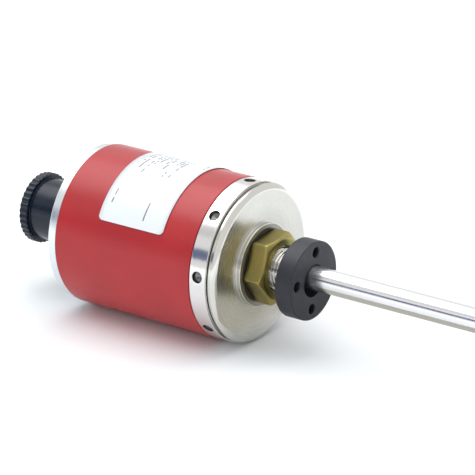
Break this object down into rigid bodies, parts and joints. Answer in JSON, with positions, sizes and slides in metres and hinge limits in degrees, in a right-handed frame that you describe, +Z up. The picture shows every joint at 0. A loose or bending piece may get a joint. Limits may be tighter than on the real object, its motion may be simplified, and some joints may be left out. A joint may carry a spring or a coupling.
{
  "type": "linear encoder",
  "caption": "Rod-type linear encoder: round housing with rear connector and cap, flange with threaded stub and lock nut, and a ring magnet sliding on a slim rod.",
  "frame": {"origin": "on the sensor axis, at the front face of the flange disc", "axes": "+X along the measuring rod, away from the housing; +Z up"},
  "size_m": [0.3639, 0.0676, 0.068],
  "materials": {
    "turned_stainless": "turned, satin",
    "ring_stainless": "turned, bright",
    "black_rubber": "matt",
    "brass": "turned and milled, slightly dull",
    "red_paint": "satin red paint",
    "cover_metal": "turned, bright",
    "plated_steel": "zinc plated",
    "rod_steel": "polished stainless steel",
    "waveguide_alloy": "drawn wire",
    "white_polymer": "smooth",
    "dark_polymer": "moulded",
    "copper_wire": "enamelled copper winding",
    "sintered_magnet": "ground",
    "board_laminate": "green solder mask",
    "flat_cable": "smooth film",
    "nickel_plate": "nickel plated",
    "gold_plate": "gold plated",
    "magnet_polymer": "matt, ferrite filled",
    "black_plastic": "moulded, satin",
    "label_film": "glossy film"
  },
  "bodies": {
    "housing": {"front_flange": "turned_stainless", "flange_seal": "black_rubber", "retaining_ring": "ring_stainless", "housing_tube": "red_paint", "rear_cover": "cover_metal", "tube_seal_front": "black_rubber", "tube_seal_rear": "black_rubber", "chassis_pillar_1": "plated_steel", "chassis_pillar_2": "plated_steel", "chassis_pillar_3": "plated_steel", "chassis_pillar_4": "plated_steel", "cover_screw_1": "plated_steel", "cover_screw_2": "plated_steel", "cover_screw_3": "plated_steel", "cover_screw_4": "plated_steel", "rod_tube": "rod_steel", "rod_end_plug": "rod_steel", "waveguide_wire": "waveguide_alloy", "waveguide_sleeve": "white_polymer", "waveguide_spacer_1": "white_polymer", "waveguide_spacer_2": "white_polymer", "waveguide_spacer_3": "white_polymer", "damping_sleeve": "black_rubber", "sensor_head_block": "dark_polymer", "pickup_coil": "copper_wire", "bias_magnet": "sintered_magnet", "electronics_carrier": "dark_polymer", "main_board": "board_laminate", "board_screw_1": "plated_steel", "board_screw_2": "plated_steel", "board_screw_3": "plated_steel", "board_screw_4": "plated_steel", "interface_board": "board_laminate", "board_link": "flat_cable", "receptacle_shell": "nickel_plate", "receptacle_gasket": "black_rubber", "mouth_seal": "black_rubber", "receptacle_screw_1": "plated_steel", "receptacle_screw_2": "plated_steel", "receptacle_screw_3": "plated_steel", "receptacle_screw_4": "plated_steel", "receptacle_insert": "dark_polymer", "contact_pin_1": "gold_plate", "contact_pin_2": "gold_plate", "contact_pin_3": "gold_plate", "contact_pin_4": "gold_plate", "contact_pin_5": "gold_plate", "contact_pin_6": "gold_plate", "contact_pin_7": "gold_plate", "contact_pin_8": "gold_plate", "contact_pin_9": "gold_plate", "contact_pin_10": "gold_plate", "contact_pin_11": "gold_plate", "contact_pin_12": "gold_plate", "label": "label_film"},
    "magnet": {"position_magnet": "magnet_polymer"},
    "nut": {"lock_nut": "brass"},
    "cap": {"protective_cap": "black_plastic"}
  },
  "joints": [
    {"name": "magnet_slide", "type": "slide", "parent": "housing", "child": "magnet", "axis": [1, 0, 0], "range_m": [0, 0.215]},
    {"name": "lock_nut_run", "type": "slide", "parent": "housing", "child": "nut", "axis": [1, 0, 0], "range_m": [0, 0.0065]},
    {"name": "cap_pull_off", "type": "slide", "parent": "housing", "child": "cap", "axis": [-1, 0, 0], "range_m": [0, 0.03]}
  ]
}
